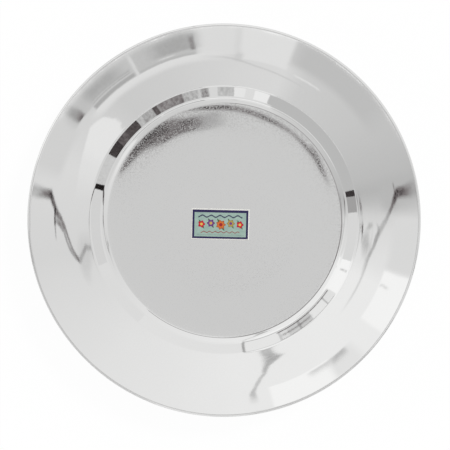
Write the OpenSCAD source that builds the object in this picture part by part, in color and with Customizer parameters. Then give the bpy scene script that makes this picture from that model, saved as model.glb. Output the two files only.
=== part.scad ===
// Round stainless steel dinner plate with a wide upturned rim.
// The floor, wall, rim and rolled edge are one pressed sheet, and a paper label is stuck to the floor.
// +Z is up. The origin is the middle of the flat face that the plate stands on.

/* [Plate] */
// Overall diameter, over the rolled edge
plate_d = 280; // [250:1:340]
// Thickness of the steel sheet
sheet_t = 0.7; // [0.5:0.1:1]

/* [Floor] */
// Diameter of the flat disc that the plate stands on
stand_d = 104; // [60:1:150]
// Diameter of the satin floor, out to the edge of its dished border
floor_d = 169.2; // [160:0.2:190]
// Slope of the dished border at its edge, in degrees
floor_edge_angle = 6; // [2:0.5:10]

/* [Wall] */
// Width of the polished cove between the floor and the wall
cove_w = 5.3; // [2:0.1:10]
// Width of the wall, seen from above
wall_w = 6.1; // [3:0.1:10]
// Slope of the wall, in degrees
wall_angle = 42; // [32:1:60]
// Radius over the bend at the top of the wall
shoulder_r = 2; // [1.2:0.1:6]

/* [Rim] */
// Slope of the rim beside the wall, in degrees
rim_inner_angle = 11.5; // [5:0.5:20]
// Slope of the rim where its curve passes into the nearly straight outer band, in degrees
rim_bend_angle = 28; // [22:0.5:29]
// Slope of the outer band beside the rolled edge, in degrees
rim_edge_angle = 30; // [29.5:0.5:40]
// Width of the outer band
band_w = 12.4; // [5:0.2:20]

/* [Rolled edge] */
// Outside diameter of the roll
roll_d = 3; // [2.4:0.1:5]
// Gap between the end of the roll and the underside of the rim
roll_gap = 0.4; // [0.2:0.1:0.8]

/* [Label] */
// Width of the paper label
label_w = 42; // [20:0.5:70]
// Depth of the paper label
label_h = 22.5; // [12:0.5:50]
// Thickness of the label's paper
paper_t = 0.1; // [0.05:0.01:0.3]
// Thickness of the adhesive under the paper
adhesive_t = 0.05; // [0.02:0.01:0.1]
// Distance of the label's middle from the plate's axis, to the right
label_x = -2.8; // [-15:0.1:15]
// Distance of the label's middle from the plate's axis, towards the back
label_y = -3; // [-15:0.1:15]
// Turn of the label on the floor, anticlockwise, in degrees
label_angle = -1.3; // [-180:0.1:180]

/* [Hidden] */

// Largest turn, in degrees, that one straight step of the outline takes in each kind of curve
shallow_step = 1;
rim_step = 2;
cove_step = 4;
tight_step = 8;
roll_step = 12;

// Width, seen from above, of a bend of radius r between the slopes a and b
function bend_w(r, a, b) = r*abs(sin(b) - sin(a));

roll_r = roll_d/2;
roll_reach = roll_r*(1 + sin(rim_edge_angle));
shoulder_w = bend_w(shoulder_r, wall_angle, rim_inner_angle);
rim_curve_w = plate_d/2 - roll_reach - band_w - shoulder_w - wall_w - cove_w - floor_d/2;

// Bands of the upper surface from the axis outwards.
// Each holds its width, its slope at the inner and at the outer edge, and its largest step.
bands = [
    [stand_d/2, 0, 0, shallow_step],
    [(floor_d - stand_d)/2, 0, floor_edge_angle, shallow_step],
    [cove_w, floor_edge_angle, wall_angle, cove_step],
    [wall_w, wall_angle, wall_angle, tight_step],
    [shoulder_w, wall_angle, rim_inner_angle, tight_step],
    [rim_curve_w, rim_inner_angle, rim_bend_angle, rim_step],
    [band_w, rim_bend_angle, rim_edge_angle, shallow_step]
];

// Number of steps in a band: one where its slope stays the same
function step_count(b) = max(1, ceil(abs(b[2] - b[1])/b[3]));

// Width from a band's inner edge to the place where it has the slope a
function width_to(b, a) = b[1] == b[2] ? b[0] : b[0]*(sin(a) - sin(b[1]))/(sin(b[2]) - sin(b[1]));

// Rise over the width w of an arc, or of a straight line, whose slope goes from a to b
function rise(w, a, b) = w*tan((a + b)/2);

// Radius and height of the inner edge of band i
function band_start_r(i) = i == 0 ? 0 : band_start_r(i - 1) + bands[i - 1][0];
function band_start_z(i) = i == 0 ? sheet_t : band_start_z(i - 1)
    + rise(bands[i - 1][0], bands[i - 1][1], bands[i - 1][2]);

// Stations along the upper surface, from the axis to the roll: radius, height and slope
stations = concat([[0, sheet_t, 0]], [
    for (i = [0:len(bands) - 1])
        let(b = bands[i], n = step_count(b))
            for (k = [1:n])
                let(a = b[1] + (b[2] - b[1])*k/n, w = width_to(b, a))
                    [band_start_r(i) + w, band_start_z(i) + rise(w, b[1], a), a]
]);

// The roll turns outwards and down from the rim's edge, until its end is roll_gap short of the rim
rim_end = stations[len(stations) - 1];
roll_centre = [rim_end[0] + roll_r*sin(rim_end[2]), rim_end[1] - roll_r*cos(rim_end[2])];
roll_turn = 360 - acos((roll_r - sheet_t - roll_gap)/roll_r);
roll_steps = ceil(roll_turn/roll_step);
roll_angles = [for (k = [1:roll_steps]) 90 + rim_end[2] - roll_turn*k/roll_steps];

// Point at the angle a on a circle of radius r round the middle of the roll
function roll_point(r, a) = [roll_centre[0] + r*cos(a), roll_centre[1] + r*sin(a)];

// The same list from its last entry to its first
function reversed(list) = [for (i = [len(list) - 1:-1:0]) list[i]];

upper_line = [for (s = stations) [s[0], s[1]]];
lower_line = [for (s = stations) [s[0] + sheet_t*sin(s[2]), s[1] - sheet_t*cos(s[2])]];
roll_outer_line = [for (a = roll_angles) roll_point(roll_r, a)];
roll_inner_line = [for (a = roll_angles) roll_point(roll_r - sheet_t, a)];

// One sheet of constant thickness, from the axis of the plate to the end of its rolled edge
module plate_sheet() {
    color([0.8, 0.8, 0.79])
        rotate_extrude($fn = 180)
            polygon(concat(upper_line, roll_outer_line, reversed(roll_inner_line), reversed(lower_line)));
}

// A flat rectangle of the label's outline, from height z to z + t
module label_layer(z, t) {
    translate([label_x, label_y, z])
        rotate([0, 0, label_angle])
            translate([-label_w/2, -label_h/2, 0])
                cube([label_w, label_h, t]);
}

// Film of adhesive between the floor and the paper
module label_adhesive() {
    color([0.9, 0.87, 0.74]) label_layer(sheet_t, adhesive_t);
}

// Printed paper on top of the adhesive
module label_paper() {
    color([0.66, 0.8, 0.76]) label_layer(sheet_t + adhesive_t, paper_t);
}

plate_sheet();
label_adhesive();
label_paper();
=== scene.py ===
import math

import bpy
import numpy as np
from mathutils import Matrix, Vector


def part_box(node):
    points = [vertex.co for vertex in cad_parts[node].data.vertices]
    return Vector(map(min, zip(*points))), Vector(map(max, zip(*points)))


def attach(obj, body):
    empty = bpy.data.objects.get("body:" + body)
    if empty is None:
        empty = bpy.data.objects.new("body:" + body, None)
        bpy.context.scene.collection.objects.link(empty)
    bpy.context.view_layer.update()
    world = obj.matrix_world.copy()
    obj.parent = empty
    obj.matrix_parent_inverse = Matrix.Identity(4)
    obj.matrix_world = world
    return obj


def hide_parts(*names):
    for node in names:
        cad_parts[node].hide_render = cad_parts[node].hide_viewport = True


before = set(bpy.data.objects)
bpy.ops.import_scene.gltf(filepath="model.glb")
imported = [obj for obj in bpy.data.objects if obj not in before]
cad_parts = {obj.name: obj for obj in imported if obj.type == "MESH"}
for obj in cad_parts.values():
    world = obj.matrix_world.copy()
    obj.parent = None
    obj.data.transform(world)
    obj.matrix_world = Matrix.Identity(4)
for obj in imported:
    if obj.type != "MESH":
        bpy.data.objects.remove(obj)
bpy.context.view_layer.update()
print("frame loaded:", ", ".join(sorted(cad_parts)))


# One output socket of a node tree. Arithmetic between wires and numbers adds the Math nodes for it.
class Wire:
    def __init__(self, tree, socket=None):
        self.tree = tree
        self.socket = socket

    # Any other node: its settings are set first, then the values or links of its sockets
    def node(self, kind, settings=None, inputs=None, output=0):
        made = self.tree.nodes.new(kind)
        for name, value in (settings or {}).items():
            if name == "stops":
                ramp = made.color_ramp
                while len(ramp.elements) < len(value):
                    ramp.elements.new(0.5)
                for element, (place, colour) in zip(ramp.elements, value):
                    element.position = place
                    element.color = (*colour, 1)
            elif name == "ease":
                made.color_ramp.interpolation = value
            else:
                setattr(made, name, value)
        for name, value in (inputs or {}).items():
            if isinstance(value, Wire):
                self.tree.links.new(value.socket, made.inputs[name])
            else:
                made.inputs[name].default_value = value
        return Wire(self.tree, made.outputs[output]) if made.outputs else None

    # Another output of the node that this wire comes from
    def also(self, output):
        return Wire(self.tree, self.socket.node.outputs[output])

    def maths(self, operation, *others):
        return self.node("ShaderNodeMath", {"operation": operation}, dict(enumerate((self, *others))))

    def __add__(self, other):
        return self.maths("ADD", other)

    def __radd__(self, other):
        return self.maths("ADD", other)

    def __sub__(self, other):
        return self.maths("SUBTRACT", other)

    def __rsub__(self, other):
        return self.node("ShaderNodeMath", {"operation": "SUBTRACT"}, {0: other, 1: self})

    def __mul__(self, other):
        return self.maths("MULTIPLY", other)

    def __rmul__(self, other):
        return self.maths("MULTIPLY", other)

    def __truediv__(self, other):
        return self.maths("DIVIDE", other)

    def __rtruediv__(self, other):
        return self.node("ShaderNodeMath", {"operation": "DIVIDE"}, {0: other, 1: self})

    def __abs__(self):
        return self.maths("ABSOLUTE")

    # 0 below edge - soft, 1 above edge + soft, and a smooth S between them
    def above(self, edge, soft):
        return self.node("ShaderNodeMapRange", {"interpolation_type": "SMOOTHSTEP"}, {
            "Value": self, "From Min": edge - soft, "From Max": edge + soft})

    # The reverse of above()
    def below(self, edge, soft):
        return self.node("ShaderNodeMapRange", {"interpolation_type": "SMOOTHSTEP"}, {
            "Value": self, "From Min": edge - soft, "From Max": edge + soft, "To Min": 1.0, "To Max": 0.0})

    # 1 between the two ends of a range, with soft edges
    def within(self, span, soft):
        return self.above(span[0], soft) * self.below(span[1], soft)

    # This value where share is 0, the other where it is 1
    def blend(self, other, share):
        return self.node("ShaderNodeMix", {"data_type": "FLOAT"}, {0: share, 2: self, 3: other})

    # The first colour where this value is 0, the second where it is 1
    def tint(self, first, second):
        return self.node("ShaderNodeMix", {"data_type": "RGBA"}, {0: self, 6: first, 7: second}, 2)


# An empty material tree, or the world's, ready for wires
def freshTree(owner):
    owner.use_nodes = True
    owner.node_tree.nodes.clear()
    return Wire(owner.node_tree)


# Amount of light that shows as the given level, 0 to 255, on the screen: the sRGB curve
def light(level):
    share = level / 255
    return share / 12.92 if share <= 0.04045 else ((share + 0.055) / 1.055) ** 2.4


# A colour given as three screen levels
def ink(red, green, blue):
    return (light(red), light(green), light(blue), 1)


# A smooth mesh piece from points and faces, riding on the plate's body
def makePiece(name, points, faces, node, material):
    mesh = bpy.data.meshes.new(name)
    mesh.from_pydata(points.tolist(), [], faces)
    mesh.polygons.foreach_set("use_smooth", np.ones(len(mesh.polygons), bool))
    mesh.materials.append(material)
    mesh.update()
    piece = bpy.data.objects.new(name, mesh)
    bpy.context.scene.collection.objects.link(piece)
    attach(piece, "root")
    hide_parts(node)
    return piece


# The pressed steel sheet: lengths in metres, slopes in degrees
plate = {
    "sheet": 0.0007,
    "standRadius": 0.052,
    "floorRadius": 0.0846,
    "floorEdgeSlope": 6,
    "coveWidth": 0.0053,
    "wallWidth": 0.0058,
    "wallSlopes": (41.2, 42.8),  # at its foot and at its top: the wall is very slightly hollow
    "shoulderBend": 0.005,
    "rimSlopes": (12.08, 28, 30),  # beside the wall, at the inner edge of the outer band, and at the roll
    "bandWidth": 0.0124,
    "lastStrip": 0.0001,  # straight end of the band, on which the roll starts smoothly
    "rollDiameter": 0.003,
    "rollGap": 0.0004,
    "around": 384,
    "steps": {"stand": 5, "floor": 24, "cove": 20, "wall": 6, "shoulder": 16, "rim": 24, "band": 10},
    "rollSteps": (36, 24),  # outside and inside the roll
}


def sine(angle):
    return np.sin(np.radians(angle))


def cosine(angle):
    return np.cos(np.radians(angle))


# Upper surface from the axis to the roll: radii, heights and slopes. In each band the line is an arc: its
# slope goes from a to b, its width grows with the sine of the slope, and it rises by its width times the
# tangent of the mean of a and the slope reached.
def upperLine(outerRadius):
    steps = plate["steps"]
    wallIn, wallOut = plate["wallSlopes"]
    inner, bend, edge = plate["rimSlopes"]
    shoulder = plate["shoulderBend"] * (sine((wallIn + wallOut) / 2) - sine(inner))
    rollReach = plate["rollDiameter"] / 2 * (1 + sine(edge))
    rimStart = plate["floorRadius"] + plate["coveWidth"] + plate["wallWidth"] + shoulder
    rimEnd = outerRadius - rollReach - plate["bandWidth"]
    bands = [  # width, slope at the inner and at the outer edge, steps
        (plate["standRadius"], 0, 0, steps["stand"]),
        (plate["floorRadius"] - plate["standRadius"], 0, plate["floorEdgeSlope"], steps["floor"]),
        (plate["coveWidth"], plate["floorEdgeSlope"], wallIn, steps["cove"]),
        (plate["wallWidth"], wallIn, wallOut, steps["wall"]),
        (shoulder, wallOut, inner, steps["shoulder"]),
        (rimEnd - rimStart, inner, bend, steps["rim"]),
        (plate["bandWidth"] - plate["lastStrip"], bend, edge, steps["band"]),
        (plate["lastStrip"], edge, edge, 1),
    ]
    radii, heights, slopes = [np.zeros(1)], [np.full(1, plate["sheet"])], [np.zeros(1)]
    for width, a, b, count in bands:
        slope = np.linspace(a, b, count + 1)[1:]
        if a == b:
            share = np.arange(1, count + 1) / count
        else:
            share = (sine(slope) - sine(a)) / (sine(b) - sine(a))
        radii.append(radii[-1][-1] + width * share)
        heights.append(heights[-1][-1] + width * share * np.tan(np.radians((a + slope) / 2)))
        slopes.append(slope)
    return np.concatenate(radii), np.concatenate(heights), np.concatenate(slopes)


# The whole closed outline of the sheet, from the top of the axis out to the rolled edge and back underneath:
# radii, heights, and 1 for the points inside and underneath. The underside lies one sheet thickness below,
# square to the slope. The roll is an arc that stops short of the rim.
def sheetOutline(outerRadius):
    r, z, slope = upperLine(outerRadius)
    thick, roll = plate["sheet"], plate["rollDiameter"] / 2
    outsideSteps, insideSteps = plate["rollSteps"]
    turn = 360 - math.degrees(math.acos((roll - thick - plate["rollGap"]) / roll))
    centreR = r[-1] + roll * sine(slope[-1])
    centreZ = z[-1] - roll * cosine(slope[-1])
    outside = 90 + slope[-1] - np.linspace(0, turn, outsideSteps + 1)[1:]
    inside = 90 + slope[-1] - np.linspace(0, turn, insideSteps + 1)[:0:-1]
    floorEnd = plate["steps"]["stand"] + plate["steps"]["floor"]
    last = len(r) - 1
    under = np.r_[0:floorEnd:4, floorEnd:last - 2:2, last - 1, last][::-1]  # fewer points than above
    radii = np.concatenate([
        r,
        centreR + roll * cosine(outside),
        centreR + (roll - thick) * cosine(inside),
        (r + thick * sine(slope))[under],
    ])
    heights = np.concatenate([
        z,
        centreZ + roll * sine(outside),
        centreZ + (roll - thick) * sine(inside),
        (z - thick * cosine(slope))[under],
    ])
    below = np.concatenate([np.zeros(len(r) + outsideSteps), np.ones(insideSteps + len(under))])
    return radii, heights, below


# The outline turned about the axis: x = r cos(angle), y = r sin(angle). Its two ends are single points on the
# axis, at the top and at the bottom.
def turnedSheet(radii, heights, around):
    angle = np.linspace(0, 2 * np.pi, around, endpoint=False)
    r, z = radii[1:-1, None], heights[1:-1, None]
    ring = np.stack([r * np.cos(angle), r * np.sin(angle), z + 0 * angle], -1).reshape(-1, 3)
    points = np.vstack([[[0, 0, heights[0]]], ring, [[0, 0, heights[-1]]]])
    index = 1 + np.arange(len(ring)).reshape(-1, around)
    onward = np.roll(index, -1, 1)
    sides = np.stack([index[:-1], index[1:], onward[1:], onward[:-1]], -1).reshape(-1, 4)
    top = np.stack([np.zeros(around, int), index[0], onward[0]], -1)
    bottom = np.stack([np.full(around, len(points) - 1), onward[-1], index[-1]], -1)
    return points, sides.tolist() + top.tolist() + bottom.tolist()


# The steel's finish: sizes and heights in metres, noise scales per metre
steel = {
    "colour": (0.8, 0.8, 0.795, 1),
    "cloudColour": (0.79, 0.79, 0.785, 1),
    "grainColour": (0.765, 0.765, 0.76, 1),
    "polishRoughness": 0.035,
    "pitRoughness": 0.115,  # in the pits of the satin floor
    "undersideRoughness": 0.24,
    "cloudVariation": 0.02,  # of the roughness
    "grainVariation": 0.04,
    "floorEdge": 0.0001,  # softness of the satin floor's edge
    "pits": (0.52, 0.12),  # where the grain turns into pits, and how softly
    "grainShare": 0.5,  # of the grain's own colour
    "grainSize": 0.0009,
    "grainHeight": 0.0000025,
    "ringScale": 900.0,
    "ringHeight": 0.000001,
    "cloudScale": 34.0,
}


# Polished steel outside the floor, satin steel on it, and duller steel underneath
def makeSteel():
    material = bpy.data.materials.new("polishedSteel")
    tree = freshTree(material)
    place = tree.node("ShaderNodeTexCoord", output="Object")
    flat = tree.node("ShaderNodeVectorMath", {"operation": "MULTIPLY"}, {0: place, 1: (1, 1, 0)})
    radius = tree.node("ShaderNodeVectorMath", {"operation": "LENGTH"}, {0: flat}, "Value")
    under = tree.node("ShaderNodeAttribute", {"attribute_name": "underside"}, output="Fac")
    satin = radius.below(plate["floorRadius"], steel["floorEdge"]) * (1 - under)

    grain = tree.node("ShaderNodeTexNoise", None, {
        "Vector": place, "Scale": 1 / steel["grainSize"], "Detail": 2.0, "Roughness": 0.6})
    clouds = tree.node("ShaderNodeTexNoise", None, {
        "Vector": place, "Scale": steel["cloudScale"], "Detail": 3.0})
    rings = tree.node("ShaderNodeTexNoise", {"noise_dimensions": "1D"}, {
        "W": radius, "Scale": steel["ringScale"], "Detail": 2.0})  # marks left by the spinning polisher
    height = grain * steel["grainHeight"] + rings * steel["ringHeight"] * (1 - satin)
    normal = tree.node("ShaderNodeBump", None, {"Strength": 1.0, "Distance": 1.0, "Height": height})

    pits = grain.above(*steel["pits"]) * satin
    rough = pits * (steel["pitRoughness"] - steel["polishRoughness"]) + steel["polishRoughness"]
    rough = rough.blend(steel["undersideRoughness"], under)
    rough = rough + (clouds - 0.5) * steel["cloudVariation"] + (grain - 0.5) * steel["grainVariation"]
    colour = clouds.above(0.5, 0.3).tint(steel["cloudColour"], steel["colour"])
    colour = (grain.above(0.5, 0.25) * steel["grainShare"]).tint(colour, steel["grainColour"])
    shader = tree.node("ShaderNodeBsdfPrincipled", None, {
        "Base Color": colour, "Metallic": 1.0, "Roughness": rough, "Normal": normal})
    tree.node("ShaderNodeOutputMaterial", None, {"Surface": shader})
    return material


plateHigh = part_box("plate_sheet")[1]
radii, heights, below = sheetOutline(plateHigh.x)
points, faces = turnedSheet(radii, heights, plate["around"])
plateSheet = makePiece("plateSheet", points, faces, "plate_sheet", makeSteel())
underside = np.concatenate([[0], np.repeat(below[1:-1], plate["around"]), [1]])
plateSheet.data.attributes.new("underside", "FLOAT", "POINT").data.foreach_set("value", underside)
print("steel plate:", len(faces), "faces, height", round(float(points[:, 2].max() * 1000), 2), "mm")


# The paper label, in metres, and its print, in millimetres from the paper's lower left corner
label = {
    "width": 0.042,
    "depth": 0.0225,
    "middle": (-0.0028, -0.003),
    "turn": -1.3,
    "paper": 0.0001,
    "grid": (85, 46),
    "ripple": 0.00003,
    "rippleWaves": (9, 4),
    "lift": 0.0003,
    "liftFrom": 1.72,  # u + v where the corner starts to come up; it is 2 at the corner itself
    "frame": (0.8, 0.85, 0.85),  # white border left and right, bottom, top
    "frameLine": (1.5, 1.4, 1.9),  # width of the dark frame, in the same order
    "soft": 0.12,
    "white": ink(232, 231, 226),
    "navy": ink(24, 12, 68),
    "mint": ink(162, 186, 175),
    "mintShade": ink(148, 172, 163),
    "maroon": ink(140, 40, 45),
    "leaf": ink(60, 96, 48),
    "fine": ink(92, 108, 104),
    "ribbons": [  # height, swing, length of a wave, half width, span, ink
        (17.0, 0.7, 6.4, 0.5, (5.0, 37.0), "navy"),
        (5.6, 0.45, 4.1, 0.3, (7.0, 35.0), "maroon"),
    ],
    "blossoms": [  # across, up, reach, petals, petal colour, heart colour
        (7.4, 11.2, 2.7, 5, ink(205, 18, 36), ink(214, 190, 90)),
        (14.2, 12.0, 2.9, 6, ink(112, 58, 128), ink(200, 170, 80)),
        (21.4, 11.0, 3.6, 7, ink(212, 112, 40), ink(150, 30, 36)),
        (28.6, 12.0, 2.9, 6, ink(182, 156, 70), ink(112, 58, 128)),
        (35.2, 11.2, 2.7, 5, ink(205, 18, 36), ink(214, 190, 90)),
    ],
    "petalDepth": 0.14,  # share of the reach by which a petal's edge goes in and out
    "leafSlant": 0.6,
    "leafShape": (1.5, 0.55, 0.95),  # how narrow, how short, and its reach as a share of the blossom's
    "heart": 0.36,  # also a share of the blossom's reach
    "dots": {"pitch": 0.85, "start": 0.42, "up": 3.6, "size": 0.05, "span": (4, 38)},
    "inkShares": {"ribbon": 0.9, "petalEdge": 0.45, "dots": 0.8},
    "fibre": {"scale": 160.0, "strength": 0.25, "height": 0.00002},
    "roughness": (0.36, 0.12),  # lowest, and what the fibre adds
}


# A thin slab over the label's rectangle: a grid of u across and v along, with a lower and an upper surface
# given by their heights, and a strip of faces round the edge. inset() moves the edge inwards.
def slab(lower, upper, inset, count):
    u, v = np.meshgrid(np.linspace(0, 1, count[0]), np.linspace(0, 1, count[1]), indexing="ij")
    x, y = (u - 0.5) * label["width"], (v - 0.5) * label["depth"]
    x, y = x * (1 - inset(v) / label["width"] * 2), y * (1 - inset(u) / label["depth"] * 2)
    turn = math.radians(label["turn"])
    worldX = label["middle"][0] + x * math.cos(turn) - y * math.sin(turn)
    worldY = label["middle"][1] + x * math.sin(turn) + y * math.cos(turn)
    layers = [np.stack([worldX, worldY, z], -1).reshape(-1, 3) for z in (lower(u, v), upper(u, v))]
    index = np.arange(u.size).reshape(u.shape)
    quad = np.stack([index[:-1, :-1], index[1:, :-1], index[1:, 1:], index[:-1, 1:]], -1).reshape(-1, 4)
    edge = np.concatenate([index[:, 0], index[-1, 1:], index[-2::-1, -1], index[0, -2:0:-1]])
    onward = np.roll(edge, -1)
    rim = np.stack([edge, onward, onward + u.size, edge + u.size], -1)
    faces = quad[:, ::-1].tolist() + (quad + u.size).tolist() + rim.tolist()
    flat = np.stack([u, v], -1).reshape(-1, 2)
    return np.vstack(layers), faces, np.vstack([flat, flat])


# Height that the paper stands off the film: a shallow ripple, 1 + sin(9u + 4v) times sin(pi u) sin(pi v), and
# one corner that has come up a little, by the square of the way from where it starts
def paperRise(u, v):
    acrossWaves, alongWaves = label["rippleWaves"]
    ripple = 1 + np.sin(acrossWaves * u + alongWaves * v)
    corner = np.clip((u + v - label["liftFrom"]) / (2 - label["liftFrom"]), 0, 1)
    return label["ripple"] * ripple * np.sin(np.pi * u) * np.sin(np.pi * v) + label["lift"] * corner ** 2


def paintLabel():
    material = bpy.data.materials.new("printedPaper")
    tree = freshTree(material)
    place = tree.node("ShaderNodeUVMap", {"uv_map": "print"})
    parts = tree.node("ShaderNodeSeparateXYZ", None, {0: place})
    wide, deep = label["width"] * 1000, label["depth"] * 1000
    x = parts * wide
    y = parts.also("Y") * deep

    # A white border, a dark frame and a pale green field
    side, bottom, top = label["frame"]
    line, lineBottom, lineTop = label["frameLine"]
    soft = label["soft"]
    framed = x.within((side, wide - side), soft) * y.within((bottom, deep - top), soft)
    inX = x.within((side + line, wide - side - line), soft)
    inY = y.within((bottom + lineBottom, deep - top - lineTop), soft)
    shades = tree.node("ShaderNodeTexNoise", None, {"Vector": place, "Scale": 9.0, "Detail": 3.0})
    mint = shades.above(0.5, 0.25).tint(label["mintShade"], label["mint"])
    colour = (inX * inY).tint(framed.tint(label["white"], label["navy"]), mint)

    # Two wavy ribbons: the distance from y = height + swing * sin(turns of x)
    shares = label["inkShares"]
    for height, swing, wave, half, span, shade in label["ribbons"]:
        line = (x * (2 * math.pi / wave)).maths("SINE") * swing + height
        ribbon = abs(y - line).below(half, 0.15) * x.within(span, 0.4)
        colour = (ribbon * shares["ribbon"]).tint(colour, label[shade])

    # A garland of five blossoms, each on a slanting leaf. A blossom's edge is at
    # reach * (1 - depth + depth * cos(petals * angle)) from its middle, and it darkens towards that edge.
    depth, slant = label["petalDepth"], label["leafSlant"]
    narrow, short, leafReach = label["leafShape"]
    for across, up, reach, petals, petal, heart in label["blossoms"]:
        dx = x - across
        dy = y - up
        away = (dx * dx + dy * dy).maths("SQRT")
        lobe = away / ((dy.maths("ARCTAN2", dx) * petals).maths("COSINE") * depth + (1 - depth))
        blossom = lobe.below(reach, 0.14)
        leaf = abs(dx + dy * slant) * narrow + abs(dy - dx * slant) * short
        colour = leaf.below(reach * leafReach, 0.3).tint(colour, label["leaf"])
        colour = blossom.tint(colour, petal)
        petalEdge = lobe.above(reach * 0.75, 0.4) * blossom * shares["petalEdge"]
        colour = petalEdge.tint(colour, label["navy"])
        colour = away.below(reach * label["heart"], 0.16).tint(colour, heart)

    # A row of fine dots along the foot of the field
    dots = label["dots"]
    dx = x - (x / dots["pitch"]).maths("FLOOR") * dots["pitch"] - dots["start"]
    dy = y - dots["up"]
    row = (dx * dx + dy * dy).below(dots["size"], dots["size"]) * x.within(dots["span"], 0.05)
    colour = (row * shares["dots"]).tint(colour, label["fine"])

    fibre = tree.node("ShaderNodeTexNoise", None, {
        "Vector": place, "Scale": label["fibre"]["scale"], "Detail": 2.0})
    normal = tree.node("ShaderNodeBump", None, {
        "Strength": label["fibre"]["strength"], "Distance": label["fibre"]["height"], "Height": fibre})
    lowest, added = label["roughness"]
    shader = tree.node("ShaderNodeBsdfPrincipled", None, {
        "Base Color": colour, "Roughness": fibre * added + lowest, "Normal": normal})
    tree.node("ShaderNodeOutputMaterial", None, {"Surface": shader})
    return material


# The glossy film of adhesive under the paper, in metres
film = {
    "thick": 0.00005,
    "grid": (43, 24),
    "drawnIn": 0.00012,  # its edge from the paper's
    "waviness": 0.00008,  # of that edge
    "waves": 23,
    "colours": ((0.86, 0.82, 0.68, 1), (0.93, 0.91, 0.82, 1)),
    "streakScale": 700.0,
    "streakStrength": 0.4,
    "streakHeight": 0.00002,
    "roughness": (0.12, 0.15),  # lowest, and what the streaks add
}


def makeFilm():
    material = bpy.data.materials.new("adhesiveFilm")
    tree = freshTree(material)
    place = tree.node("ShaderNodeTexCoord", output="Object")
    streaks = tree.node("ShaderNodeTexNoise", None, {
        "Vector": place, "Scale": film["streakScale"], "Detail": 3.0})
    colour = streaks.above(0.5, 0.2).tint(*film["colours"])
    normal = tree.node("ShaderNodeBump", None, {
        "Strength": film["streakStrength"], "Distance": film["streakHeight"], "Height": streaks})
    lowest, added = film["roughness"]
    shader = tree.node("ShaderNodeBsdfPrincipled", None, {
        "Base Color": colour, "Roughness": streaks * added + lowest, "Normal": normal})
    tree.node("ShaderNodeOutputMaterial", None, {"Surface": shader})
    return material


# The UV map that places the print: 0 to 1 across the paper and 0 to 1 along it
def layPrint(piece, flat):
    corners = np.zeros(len(piece.data.loops), int)
    piece.data.loops.foreach_get("vertex_index", corners)
    piece.data.uv_layers.new(name="print").data.foreach_set("uv", flat[corners].ravel())


filmTop = plate["sheet"] + film["thick"]
points, faces, flat = slab(
    lambda u, v: plate["sheet"] + 0 * u,
    lambda u, v: filmTop + 0 * u,
    lambda w: film["drawnIn"] + film["waviness"] * np.sin(film["waves"] * w),
    film["grid"])
makePiece("labelFilm", points, faces, "label_adhesive", makeFilm())
points, faces, flat = slab(
    lambda u, v: filmTop + paperRise(u, v),
    lambda u, v: filmTop + label["paper"] + paperRise(u, v),
    lambda w: 0 * w,
    label["grid"])
paper = makePiece("labelPaper", points, faces, "label_paper", paintLabel())
layPrint(paper, flat)
print("label: paper and film")


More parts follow.
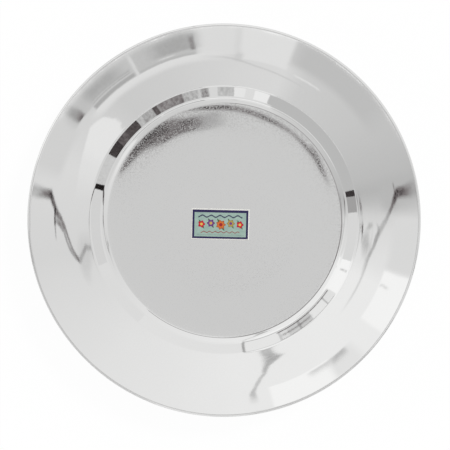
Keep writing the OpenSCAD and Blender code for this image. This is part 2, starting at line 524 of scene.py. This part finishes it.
# What the polished steel mirrors: a pale light tent with seams, panels and openings, standing in a room.
# Azimuth runs anticlockwise from +X, over the range given here. Tilt runs from 0 overhead to 90 at the
# horizon. A level, 0 to 255, is the one at which the steel shows that thing on the screen.
tent = {
    "azimuths": (50, 410),
    "steelShine": 0.8,
    "ceiling": 203,
    "skylightLevel": 229,
    "dark": 26,  # level of the seams, the sills and the mouth
    "ceilingTilt": (9.6, 0.8),  # the tilt where it ends and its softness, as in the next two
    "skirtTilt": (58, 2),
    "roomTilt": (75.6, 0.7),
    "swayBelow": 60,  # cards whose lower end is above this tilt sway as cloth does
    "sway": {"scale": 9.0, "azimuth": 1.6, "tilt": 1.0},
    "mottle": {"scale": 90.0, "detail": 3.0, "roughness": 0.75},
    "mottleEdge": (0.5, 0.12),
    "holes": 1.6,  # strength of the mottle in a broken card
    "strokeGrain": (0.45, 0.68),  # strength and lowest value of the mottle along a stroke
    "clutter": {"scale": 46.0, "detail": 4.0, "roughness": 0.8},
    "clutterFrom": (250, 2),  # azimuth and softness
    "clutterLight": (0.6, 0.25),  # it shows on what gives less light than this
    "clutterStrength": 3.4,
    "spread": {"skylight": 0.1, "seams": 0.6, "mouth": 0.18},  # softness of the strokes' sides
    "darkTint": (1.12, 0.96, 0.98, 1),
    "darkLight": (0.25, 0.3),  # the tint shows on what gives less light than this
    "ambient": (0.45, 0.45, 0.45, 1),  # what lights the matt surfaces
    # Lists of azimuth and level: the cloth of the tent, and its skirt
    "cloth": [(50, 225), (95, 233), (130, 235), (157, 235), (163, 227), (176, 219), (182, 208),
              (187, 188), (191, 181), (196, 188), (218, 199), (240, 204), (248, 216), (265, 214),
              (290, 206), (310, 203), (322, 210), (342, 218), (358, 215), (372, 213), (382, 217),
              (410, 225)],
    "skirt": [(50, 224), (95, 230), (103, 242), (158, 244), (166, 222), (180, 212), (190, 196),
              (246, 200), (252, 218), (285, 215), (300, 205), (325, 208), (345, 214), (360, 217),
              (410, 222)],
    # What stands at the horizon: the azimuth where it begins, and its level up to where the next begins
    "room": [
        {"frontWall": (50, 225), "frontPost": (98, 215), "hall": (99.3, 230), "hallPost": (115.2, 200),
         "hallWall": (116.4, 220), "stand": (119.5, 205), "standSide": (124.8, 170),
         "standBack": (126.2, 200), "window": (132.2, 230), "windowBar": (140.4, 185),
         "windowSide": (141.3, 225), "brightWindow": (146.6, 245)},
        {"rightWall": (161.8, 215), "corner": (183, 160), "darkPost": (190.2, 55),
         "backWall": (192.7, 185), "doorway": (249.4, 235), "doorPost": (256.6, 220),
         "door": (260.3, 230), "doorSide": (265.6, 190), "cupboard": (272.4, 215),
         "cupboardSide": (276.4, 200)},
        {"stack": (288.4, 120), "stackSide": (291.8, 150), "stackPost": (300.4, 85),
         "shelfWall": (302.5, 175), "shelfLight": (308.6, 185), "darkDoor": (311.4, 75),
         "darkDoorLeaf": (318, 90), "darkDoorEnd": (323.6, 60), "leftWall": (330.2, 200),
         "leftPost": (343.7, 30), "leftFar": (346.3, 210), "leftFront": (380, 220)},
    ],
    # Each card: its azimuths, its tilts, its level, the softness of its sides and of its ends, and how broken
    # up it is. They are laid over each other in this order.
    "cards": {
        # a light step and two brows, high up
        "stepLight": ((320, 339), (13, 19), 226, 3, 2, 0),
        "brow": ((94, 272), (10.4, 13.4), 118, 8, 0.9, 0),
        "browFront": ((24, 168), (13, 17.2), 150, 8, 1.6, 0),
        # the left wall and its door
        "leftWall": ((212, 248), (46, 60), 190, 6, 4, 0),
        "leftShade": ((183, 193), (38, 53), 184, 2.5, 5, 0.2),
        "leftBlot": ((233.5, 244), (38.7, 40.1), 224, 1.2, 0.5, 1.0),
        "door": ((247.5, 264.3), (40.5, 60), 223, 1.0, 1.0, 0),
        "doorLow": ((263.6, 266.5), (39, 45), 205, 1, 2, 0),
        "doorLight": ((266.3, 278), (43.5, 60), 219, 1.2, 1.0, 0),
        # two curtains beside it, and the gap between them
        "curtainTop": ((270, 321), (40, 46), 221, 4, 2.5, 0),
        "curtain": ((279.2, 300.2), (45.6, 53.9), 190, 0.5, 0.6, 0.3),
        "curtainDark": ((279.3, 293), (50.3, 53.9), 168, 4, 1.0, 0.3),
        "curtainEdge": ((279.3, 280.9), (49.4, 53.2), 138, 0.5, 0.7, 0.5),
        "curtainHem": ((280, 300), (45.6, 47.4), 184, 0.6, 0.5, 0),
        "secondCurtain": ((301.3, 319.4), (45.6, 53.9), 194, 0.5, 0.5, 0.2),
        "secondDark": ((306, 321), (51.6, 53.6), 170, 4, 0.8, 0.3),
        "secondHem": ((301.6, 319.2), (46.2, 49.0), 170, 0.4, 0.35, 0.2),
        "hemStripe": ((302.5, 318.6), (50.45, 50.8), 160, 0.4, 0.15, 0),
        "hemLine": ((302.5, 318.6), (51.3, 51.65), 172, 0.4, 0.15, 0),
        "curtainGap": ((300.1, 301.0), (46, 54), 214, 0.3, 0.6, 0),
        "glint": ((287, 292.5), (48.2, 49.2), 214, 1, 0.4, 1.0),
        # a lamp
        "lampShade": ((318.5, 330), (49.8, 53.6), 192, 2.5, 1.2, 0.2),
        "lamp": ((323.1, 326.1), (50.3, 52.4), 50, 1.1, 0.5, 0.3),
        "lampSide": ((323.0, 326.4), (51.4, 53.9), 160, 1.2, 1.0, 0.3),
        # lines and marks along the cloth
        "underLine": ((277, 319.5), (43.4, 45.2), 222, 1.0, 0.5, 0),
        "rail": ((206, 343), (54.6, 57.5), 255, 6, 0.09, 0),
        "paleWall": ((328, 345), (46, 60), 209, 3, 3, 0),
        "streakLeft": ((146, 176), (29.4, 30.8), 208, 7, 0.7, 0.3),
        "tailLeft": ((188.5, 192.2), (48.6, 49.6), 140, 0.5, 0.35, 0.3),
        # two pale panels in front, and the wall at their right
        "frontPanel": ((105.0, 126.4), (49.2, 57), 244, 0.8, 0.5, 0),
        "frontSoft": ((125.5, 136), (51, 56), 226, 2, 2, 0),
        "frontShade": ((127, 133.4), (50.6, 52.3), 184, 1.0, 0.7, 0.3),
        "frontShadeLeft": ((119, 128), (50.4, 51.9), 210, 1.8, 0.7, 0.3),
        "rightPanel": ((144.3, 162.4), (45.2, 57), 244, 0.8, 0.8, 0),
        "rightLine": ((156.6, 157.6), (45.8, 51.6), 222, 0.3, 0.5, 0.5),
        "rightWall": ((163, 180.5), (46, 60), 217, 1.2, 4, 0),
        # the hall and the shelves, near the horizon
        "hallSill": ((99.5, 146), (64, 73), 190, 0.8, 1.5, 0.3),
        "hallEdge": ((115, 146), (76.8, 79.1), 100, 0.5, 0.4, 0.4),
        "hallBar": ((117, 132), (80.5, 80.95), 100, 1.5, 0.2, 0.4),
        "rightMark": ((156.6, 157.5), (79.5, 82.5), 190, 0.3, 0.5, 1.0),
        "backGrey": ((193.2, 247.4), (62, 78), 186, 0.5, 4, 0),
        "shelfDark": ((276.8, 280.2), (76, 90), 140, 0.5, 0.8, 0.9),
        "wares": ((302.9, 308.8), (76, 90), 164, 0.5, 0.5, 1.0),
        "crates": ((290.6, 300.2), (76, 90), 132, 0.6, 0.5, 0.9),
        "shelves": ((281.6, 288.3), (76, 90), 170, 0.6, 0.5, 0.9),
    },
    # Strokes: lists of place, middle, half width and darkness. The skylight's place is the azimuth.
    "skylight": [(316.6, 27, 3, 0), (317.6, 27.5, 3.5, 1), (319, 28, 8, 1), (320.2, 28.8, 9.5, 1),
                 (323, 29.6, 10.6, 1), (326, 30.2, 11.2, 1), (329, 28.8, 9.8, 1),
                 (332.8, 27.8, 8.4, 0.95), (338, 27, 7.4, 0.6), (344, 26, 6.8, 0.35), (352, 25, 6, 0)],
    "seams": {  # place is the tilt, middle is the azimuth
        "left": [(29.5, 165, 1.4, 0), (31, 167, 2.2, 0.26), (32.4, 171, 2.5, 0.34), (35, 175, 2.0, 0.38),
                 (39.4, 179, 1.5, 0.34), (41.8, 181, 1.3, 0.45), (44.2, 183.2, 1.2, 0.68),
                 (46.6, 185.8, 1.4, 0.75), (48.8, 187.6, 1.6, 0.95), (50.5, 188.9, 1.5, 1),
                 (52.2, 188.9, 1.5, 0.85), (53.6, 189, 1.9, 0.45), (55, 189.2, 2.2, 0.1), (57, 190, 1, 0)],
        "right": [(14, 372.5, 1, 0), (18, 372.5, 1, 0.3), (21, 372.4, 1, 0.35), (24, 371.2, 1.2, 0.45),
                  (28, 374.2, 1.1, 0.4), (30.5, 376, 1.2, 0.45), (31.7, 375, 1.2, 0.5),
                  (34.3, 371, 1.2, 0.6), (36.2, 367, 1.5, 0.7), (38, 363.5, 1.5, 0.7),
                  (40.9, 360, 1.3, 0.75), (42.6, 358.9, 1.4, 0.8), (44.9, 357.2, 1.6, 0.85),
                  (47.3, 354.7, 1.5, 0.9), (49.3, 352.9, 1.5, 1), (50.6, 351.6, 1.5, 1),
                  (52.2, 351.4, 1.5, 0.8), (53.6, 351.2, 1.9, 0.4), (55, 350.8, 1.8, 0.35),
                  (56.2, 350.5, 1.9, 1), (60, 349.8, 1.9, 1), (66, 348.4, 1.7, 1), (77, 346, 1.2, 1),
                  (79, 345.6, 1.0, 0)],
        "rightUpper": [(31, 377, 1, 0), (31.5, 375.7, 1.1, 0.6), (33.8, 373.6, 1.2, 0.5),
                       (36.8, 370, 1.5, 0.5), (38.3, 366.5, 1.9, 0.55), (39.4, 363.8, 1.4, 0.6),
                       (42.6, 361.6, 1.1, 0.75), (45, 360.2, 1, 0.5), (46, 359.6, 0.8, 0)],
        "front": [(18, 107.8, 2.4, 0), (21, 107.8, 2.5, 0.42), (25, 108.6, 2.5, 0.5),
                  (28.5, 109.6, 3.6, 0.55), (31, 107.6, 2.4, 0.5), (33.2, 105.9, 1.2, 0.5),
                  (37.8, 104.6, 0.9, 0.42), (42, 102.6, 0.8, 0.38), (46, 101, 0.7, 0.38),
                  (50, 99.6, 0.8, 0.42), (51.5, 99.3, 1.0, 0.45), (52.6, 99.3, 1.2, 0.2),
                  (53.6, 99.3, 1, 0), (58, 99, 0.5, 0), (60, 99, 0.5, 0.2), (66, 98.9, 0.6, 0.5),
                  (78, 98.9, 0.6, 0.5)],
    },
    "sills": {  # place is the azimuth, middle is the tilt
        "leftLow": [(146, 17, 1.2, 0), (155, 17, 1.8, 0.5), (162, 17, 2.2, 0.8), (175, 17, 2.3, 0.9),
                    (184, 17, 2.0, 0.7), (191, 17, 1.2, 0)],
        "left": [(170, 22.6, 0.3, 0), (170.8, 22.6, 0.36, 0.35), (173.9, 22.5, 0.36, 0.5),
                 (174.8, 22.4, 0.42, 1), (177.4, 22.3, 0.42, 1), (178.8, 22.2, 0.36, 0.25),
                 (181, 22, 0.3, 0.1), (183.5, 21.8, 0.4, 0.35), (185.6, 21.4, 0.5, 0.9),
                 (189, 20.9, 0.6, 1), (191.8, 20.6, 0.7, 1), (193, 20.5, 0.6, 0)],
        "blot": [(163, 27, 1.5, 0), (167, 26.5, 2.4, 0.22), (170, 26, 2.9, 0.38), (173, 25.5, 2.4, 0.3),
                 (175.5, 26, 2, 0.12), (177.6, 28.3, 1.7, 0.4), (179.2, 28, 1.5, 0)],
        "leftBranch": [(157, 29.6, 0.8, 0), (161, 29.5, 1.3, 0.2), (164.5, 29.7, 1.5, 0.24),
                       (167.5, 31.2, 1.4, 0.22), (170, 32.6, 1.3, 0.24), (173, 33.5, 1.3, 0.24),
                       (175.8, 34.7, 1.0, 0.3), (177.4, 34.5, 0.85, 0.3), (179.2, 32.6, 0.7, 0)],
        "fold": [(364, 24, 4, 0), (369, 24.5, 4.5, 0.1), (374, 25.5, 5, 0.14), (378, 27, 4.5, 0.14),
                 (382, 29, 3, 0.1), (387, 30, 1.5, 0)],
        "hook": [(354.6, 46.1, 0.4, 0), (356, 46.2, 0.65, 1), (361, 46.1, 0.6, 1),
                 (362.6, 46, 0.45, 0.6), (366, 46, 0.4, 0.4), (367.5, 46, 0.3, 0)],
        "arch": [(238, 34.2, 0.5, 0), (247, 34.8, 0.6, 0.13), (258, 36.5, 0.7, 0.13),
                 (270, 41.2, 0.8, 0.12), (280, 43, 1.5, 0)],
    },
    "mouth": {  # the opening overhead: place is the azimuth, middle is the tilt
        "rim": [(196, 7.6, 0.4, 0), (200, 7.2, 0.42, 0.4), (204, 7.1, 0.48, 0.85), (208, 7.1, 0.52, 1),
                (212, 7.5, 0.6, 0.85), (215, 7.8, 0.6, 0.95), (218, 8.15, 0.35, 0.6), (221, 8.4, 0.2, 0)],
        "rimOn": [(209, 7.2, 0.4, 0), (214, 7.1, 0.45, 0.75), (221, 7.1, 0.48, 0.95),
                  (226, 7.2, 0.45, 0.6), (232, 7.2, 0.45, 0.62), (240, 7.1, 0.52, 0.9),
                  (250, 7.1, 0.6, 0.95), (260, 7.4, 0.62, 0.85), (266, 7.6, 0.62, 0.95),
                  (271, 7.7, 0.62, 1), (275, 7.85, 0.62, 1), (280, 8.05, 0.55, 1), (284, 8.25, 0.4, 1),
                  (288, 8.45, 0.2, 0.8), (293, 8.6, 0.14, 0.75), (300, 8.6, 0.14, 0.7),
                  (303, 8.6, 0.12, 0)],
        "haze": [(268, 4.6, 1.0, 0), (273, 4.9, 1.6, 0.4), (276, 4.8, 1.9, 0.5), (279, 4.5, 1.9, 0.3),
                 (282, 4.6, 2.0, 0.5), (284.5, 4.7, 1.9, 0.5), (287, 4.7, 1.6, 0)],
        "opening": [(283.5, 4.7, 1.5, 0), (285, 4.7, 1.6, 0.8), (290, 5.0, 1.65, 1),
                    (294, 5.5, 1.8, 0.95), (298, 6.0, 2.15, 0.84), (302, 6.15, 2.3, 0.88),
                    (306, 6.2, 2.25, 1), (310, 6.35, 2.1, 1), (314, 6.7, 1.8, 1), (317, 7.2, 1.3, 1),
                    (322, 7.4, 1.1, 1), (326, 7.55, 0.95, 1), (330, 7.75, 0.75, 0.95),
                    (334, 7.95, 0.5, 0.8), (338, 8.25, 0.3, 0)],
    },
}


# Light that a thing gives so that the steel shows it at the given level
def mirrored(level):
    return light(level) / tent["steelShine"]


# Light along an arc of the tent, from its list of azimuth and level. The last level holds beyond the arc.
def arc(azimuth, levels, ease="LINEAR"):
    first, turn = levels[0][0], levels[-1][0] - levels[0][0]
    stops = [((place - first) / turn, (mirrored(level),) * 3) for place, level in levels]
    ramp = azimuth.node("ShaderNodeValToRGB", {"stops": stops, "ease": ease}, {0: (azimuth - first) / turn})
    return ramp.node("ShaderNodeSeparateColor", None, {0: ramp})


# Darkness of a stroke: its middle, half width and darkness follow the place along it. Across it, the distance
# from the middle is divided by the half width, and the darkness falls smoothly from 1 - spread to 1 + spread.
# One ramp carries all three: the middle as a share of a range round it, the half width as one of the widest.
def stroke(place, across, path, spread):
    margin, widest = 5, 10
    low = min(step[1] for step in path) - margin
    high = max(step[1] for step in path) + margin
    first, length = path[0][0], path[-1][0] - path[0][0]
    stops = [((at - first) / length, ((middle - low) / (high - low), half / widest, dark))
             for at, middle, half, dark in path]
    ramp = place.node("ShaderNodeValToRGB", {"stops": stops}, {0: (place - first) / length})
    parts = ramp.node("ShaderNodeSeparateColor", None, {0: ramp})
    off = abs(across - (parts * (high - low) + low)) / (parts.also(1) * widest)
    return off.below(1, spread) * parts.also(2)


# Uneven brightness over the tent, from 0 to 1
def unevenness(way, noise):
    return way.node("ShaderNodeTexNoise", None, {
        "Vector": way, "Scale": noise["scale"], "Detail": noise["detail"], "Roughness": noise["roughness"]})


def pitchTent():
    world = bpy.data.worlds.new("lightTent")
    bpy.context.scene.world = world
    world.cycles.sampling_method = "NONE"  # the Light Path node below has to see every ray's kind
    tree = freshTree(world)
    way = tree.node("ShaderNodeTexCoord", output="Generated")
    parts = tree.node("ShaderNodeSeparateXYZ", None, {0: way})
    sway = tree.node("ShaderNodeTexNoise", None, {
        "Vector": way, "Scale": tent["sway"]["scale"], "Detail": 2.0}) - 0.5
    mottle = unevenness(way, tent["mottle"]).above(*tent["mottleEdge"])
    degrees = 180 / math.pi
    start, end = tent["azimuths"]
    azimuth = parts.also("Y").maths("ARCTAN2", parts) * degrees + sway * tent["sway"]["azimuth"]
    azimuth = azimuth.maths("WRAP", end, start)
    tilt = parts.also("Z").maths("ARCCOSINE") * degrees
    hang = tilt + sway * tent["sway"]["tilt"]
    inRoom = tilt.above(*tent["roomTilt"])

    # The cloth of the tent, its skirt below, and the things of the room at the horizon
    shade = arc(azimuth, tent["cloth"]).blend(arc(azimuth, tent["skirt"]), tilt.above(*tent["skirtTilt"]))
    for things in tent["room"]:
        levels = list(things.values())
        begun = azimuth.above(levels[0][0], 0.01)
        shade = shade.blend(arc(azimuth, levels, "CONSTANT"), inRoom * begun)

    # The cards over them, some broken up by holes, and clutter on what is dark in the room
    for azimuths, tilts, level, softAround, softUp, broken in tent["cards"].values():
        height = hang if tilts[1] < tent["swayBelow"] else tilt
        mask = azimuth.within(azimuths, softAround) * height.within(tilts, softUp)
        if broken:
            deep = tent["holes"] * broken
            mask = mask * (mottle * deep + (1 - deep / 2)).maths("MINIMUM", 1)
        shade = shade.blend(mirrored(level), mask)
    clutter = unevenness(way, tent["clutter"]) - 0.5
    cluttered = shade.below(*tent["clutterLight"]) * (inRoom * azimuth.above(*tent["clutterFrom"]))
    shade = shade * (clutter * cluttered * tent["clutterStrength"] + 1)

    # The strokes, with the plain grey overhead between them
    spread = tent["spread"]
    skylight = stroke(azimuth, hang, tent["skylight"], spread["skylight"])
    shade = shade.blend(mirrored(tent["skylightLevel"]), skylight)
    dark = mirrored(tent["dark"])
    slope, lowest = tent["strokeGrain"]
    grain = (mottle * slope + lowest).maths("MINIMUM", 1)
    for path in tent["seams"].values():
        shade = shade.blend(dark, stroke(tilt, azimuth, path, spread["seams"]) * grain)
    for path in tent["sills"].values():
        shade = shade.blend(dark, stroke(azimuth, tilt, path, spread["seams"]) * grain)
    shade = shade.blend(mirrored(tent["ceiling"]), tilt.below(*tent["ceilingTilt"]))
    for path in tent["mouth"].values():
        shade = shade.blend(dark, stroke(azimuth, tilt, path, spread["mouth"]) * grain)

    colour = shade.node("ShaderNodeCombineColor", None, {0: shade, 1: shade, 2: shade})
    tint = shade.above(*tent["darkLight"]).tint(tent["darkTint"], (1, 1, 1, 1))
    colour = colour.node("ShaderNodeVectorMath", {"operation": "MULTIPLY"}, {0: colour, 1: tint})
    rays = tree.node("ShaderNodeLightPath", output="Is Camera Ray")
    colour = rays.also("Is Diffuse Ray").tint(colour, tent["ambient"])
    colour = rays.tint(colour, (1, 1, 1, 1))  # the camera sees plain white
    back = tree.node("ShaderNodeBackground", None, {0: colour, 1: 1.0})
    tree.node("ShaderNodeOutputWorld", None, {0: back})


pitchTent()

# A soft sun that lights the matt surfaces. The steel doesn't mirror it. Angles are in degrees.
sunlight = {"energy": 2.3, "softness": 14, "tilt": 44, "azimuth": 38}

sun = bpy.data.objects.new("softSun", bpy.data.lights.new("softSun", "SUN"))
sun.data.energy = sunlight["energy"]
sun.data.angle = math.radians(sunlight["softness"])
sun.rotation_euler = (0, math.radians(sunlight["tilt"]), math.radians(sunlight["azimuth"]))
sun.visible_glossy = False
bpy.context.scene.collection.objects.link(sun)


# The floor is a wide disc just under the plate. Its own shading shows beneath the plate. Outside, the camera
# sees it plain white, and further out mirrors do too. Lengths are in metres.
stage = {
    "radii": (0.05, 0.2, 1, 4, 20),
    "around": 96,
    "drop": 0.00005,
    "cloth": (0.86, 0.86, 0.86, 1),
    "whiteFrom": [(0.12, 0.021, 0.975), (0.2, 0.06, 0.025)],  # radius, softness, share of the white
    "mirroredFrom": (0.24, 0.04),
}


# Rings of points at the radii: x = radius cos(angle), y = radius sin(angle). The innermost is one flat face.
def layFloor():
    around = stage["around"]
    angle = np.linspace(0, 2 * np.pi, around, endpoint=False)
    ring = np.stack([np.cos(angle), np.sin(angle), 0 * angle], -1)
    points = np.vstack([ring * radius + [0, 0, -stage["drop"]] for radius in stage["radii"]])
    index = np.arange(len(points)).reshape(-1, around)
    onward = np.roll(index, -1, 1)
    faces = np.stack([index[:-1], index[1:], onward[1:], onward[:-1]], -1).reshape(-1, 4).tolist()
    mesh = bpy.data.meshes.new("stageFloor")
    mesh.from_pydata(points.tolist(), [], faces + [index[0].tolist()])
    floor = bpy.data.objects.new("stageFloor", mesh)
    bpy.context.scene.collection.objects.link(floor)

    material = bpy.data.materials.new("stageWhite")
    tree = freshTree(material)
    place = tree.node("ShaderNodeTexCoord", output="Object")
    radius = tree.node("ShaderNodeVectorMath", {"operation": "LENGTH"}, {0: place}, "Value")
    rays = tree.node("ShaderNodeLightPath", output="Is Camera Ray")
    near, far = (radius.above(start, soft) * share for start, soft, share in stage["whiteFrom"])
    mirror = rays.also("Is Glossy Ray") * radius.above(*stage["mirroredFrom"])
    white = ((near + far) * rays).maths("MAXIMUM", mirror)
    cloth = tree.node("ShaderNodeBsdfDiffuse", None, {0: stage["cloth"]})
    glow = tree.node("ShaderNodeEmission", None, {0: (1, 1, 1, 1), 1: 1.0})
    both = tree.node("ShaderNodeMixShader", None, {0: white, 1: cloth, 2: glow})
    tree.node("ShaderNodeOutputMaterial", None, {0: both})
    mesh.materials.append(material)


layFloor()

# The camera looks straight down: its place in metres, its lens and sensor in millimetres
view = {"place": (0.00064, -0.00347, 1.5284), "lens": 168.8, "sensor": 36}

camera = bpy.data.objects.new("camera", bpy.data.cameras.new("camera"))
camera.location = view["place"]
camera.data.lens = view["lens"]
camera.data.sensor_width = view["sensor"]
bpy.context.scene.collection.objects.link(camera)
bpy.context.scene.camera = camera
bpy.context.scene.view_settings.view_transform = "Standard"
print("light tent, floor, lamp and camera ready")
